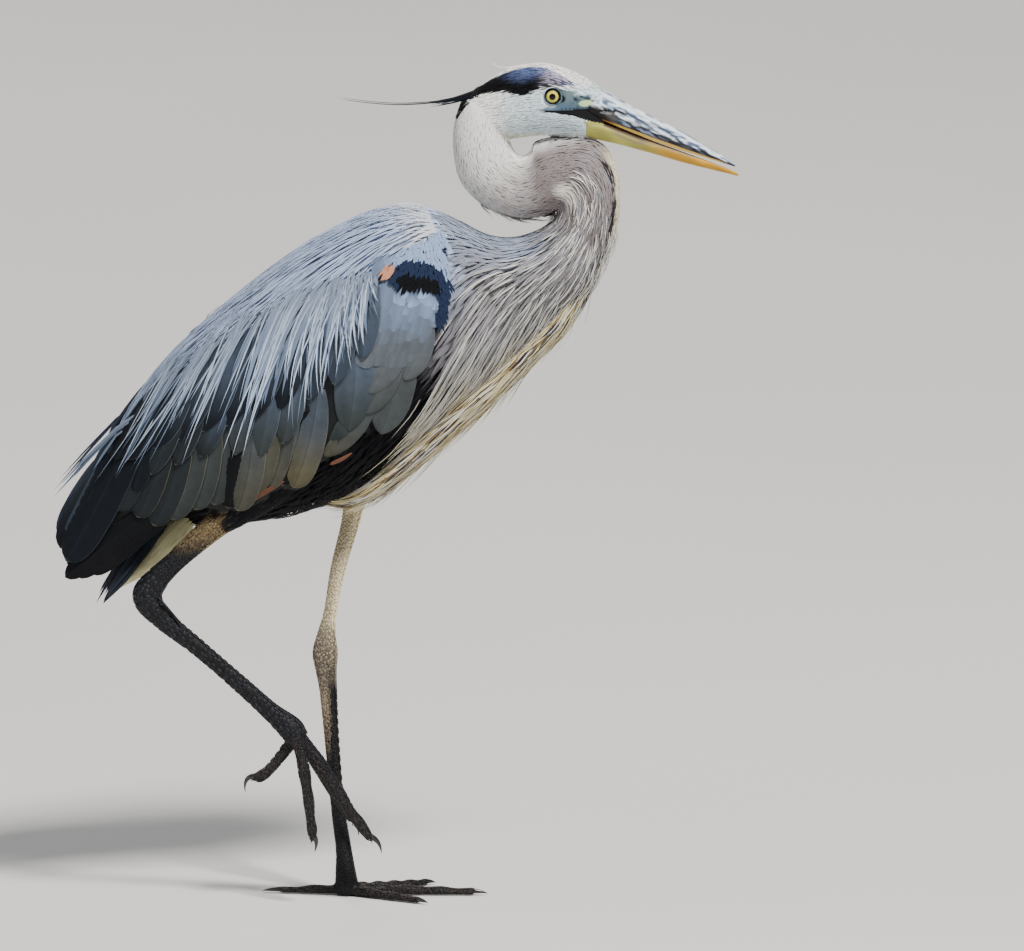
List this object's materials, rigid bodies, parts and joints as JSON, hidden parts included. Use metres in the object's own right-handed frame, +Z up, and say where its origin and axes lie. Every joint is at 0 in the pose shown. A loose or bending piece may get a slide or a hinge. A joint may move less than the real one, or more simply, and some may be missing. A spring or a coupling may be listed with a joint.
{
  "type": "great blue heron",
  "caption": "Still, life-size great blue heron standing on its left leg with the right foot lifted, neck folded in a tight curve and bill forward.",
  "frame": {"origin": "on the ground under the ball of the left foot, the one the bird stands on", "axes": "+X the way the bill points, +Y the bird's left, +Z up"},
  "size_m": [0.6328, 0.1582, 0.7851],
  "materials": {
    "head_feathers": "short white feathers with a black crown stripe, lying flat",
    "crest": "fine black nape plumes with a slight gloss",
    "eye": "wet, clear cornea over a yellow iris and black pupil",
    "bill_upper": "smooth satin horn, slate with pale streaks",
    "bill_lower": "smooth satin horn, dull yellow to orange",
    "neck_feathers": "soft mauve-grey feathers with a streaked white foreneck",
    "body_feathers": "soft blue-grey feathers over black flanks",
    "breast_plumes": "long loose cream and grey plumes",
    "scapulars": "long silvery lance-shaped plumes",
    "wing_coverts": "broad soft grey feathers with pale edges",
    "secondaries": "smooth slate vanes with thin pale edges",
    "primaries": "smooth black vanes",
    "tail": "smooth slate vanes",
    "undertail": "soft cream feathers",
    "thigh_feathers": "short soft rusty feathers",
    "pale_leg_skin": "scaly dry skin, pale tan to brown",
    "dark_leg_skin": "scaly dry skin, almost black",
    "toe_skin": "scaly dry skin with broad scutes on top",
    "claw": "smooth dark horn"
  },
  "bodies": {
    "root": {"head": "head_feathers", "eye_left": "eye", "eye_right": "eye", "bill_upper": "bill_upper", "bill_lower": "bill_lower", "crest_left": "crest", "crest_right": "crest", "neck_upper": "neck_feathers", "neck_middle": "neck_feathers", "neck_lower": "neck_feathers", "trunk": "body_feathers", "breast_plumes": "breast_plumes", "scapulars_left": "scapulars", "scapulars_right": "scapulars", "coverts_left": "wing_coverts", "coverts_right": "wing_coverts", "secondaries_left": "secondaries", "secondaries_right": "secondaries", "primaries_left": "primaries", "primaries_right": "primaries", "tail": "tail", "undertail": "undertail", "thigh_left": "thigh_feathers", "thigh_right": "thigh_feathers", "shank_left": "pale_leg_skin", "tarsus_left": "pale_leg_skin", "shank_right": "dark_leg_skin", "tarsus_right": "dark_leg_skin", "toe_middle_left": "toe_skin", "toe_inner_left": "toe_skin", "toe_outer_left": "toe_skin", "toe_hallux_left": "toe_skin", "toe_middle_right": "toe_skin", "toe_outer_right": "toe_skin", "toe_inner_right": "toe_skin", "toe_hallux_right": "toe_skin", "claw_middle_left": "claw", "claw_inner_left": "claw", "claw_outer_left": "claw", "claw_hallux_left": "claw", "claw_middle_right": "claw", "claw_outer_right": "claw", "claw_inner_right": "claw", "claw_hallux_right": "claw"}
  },
  "joints": []
}
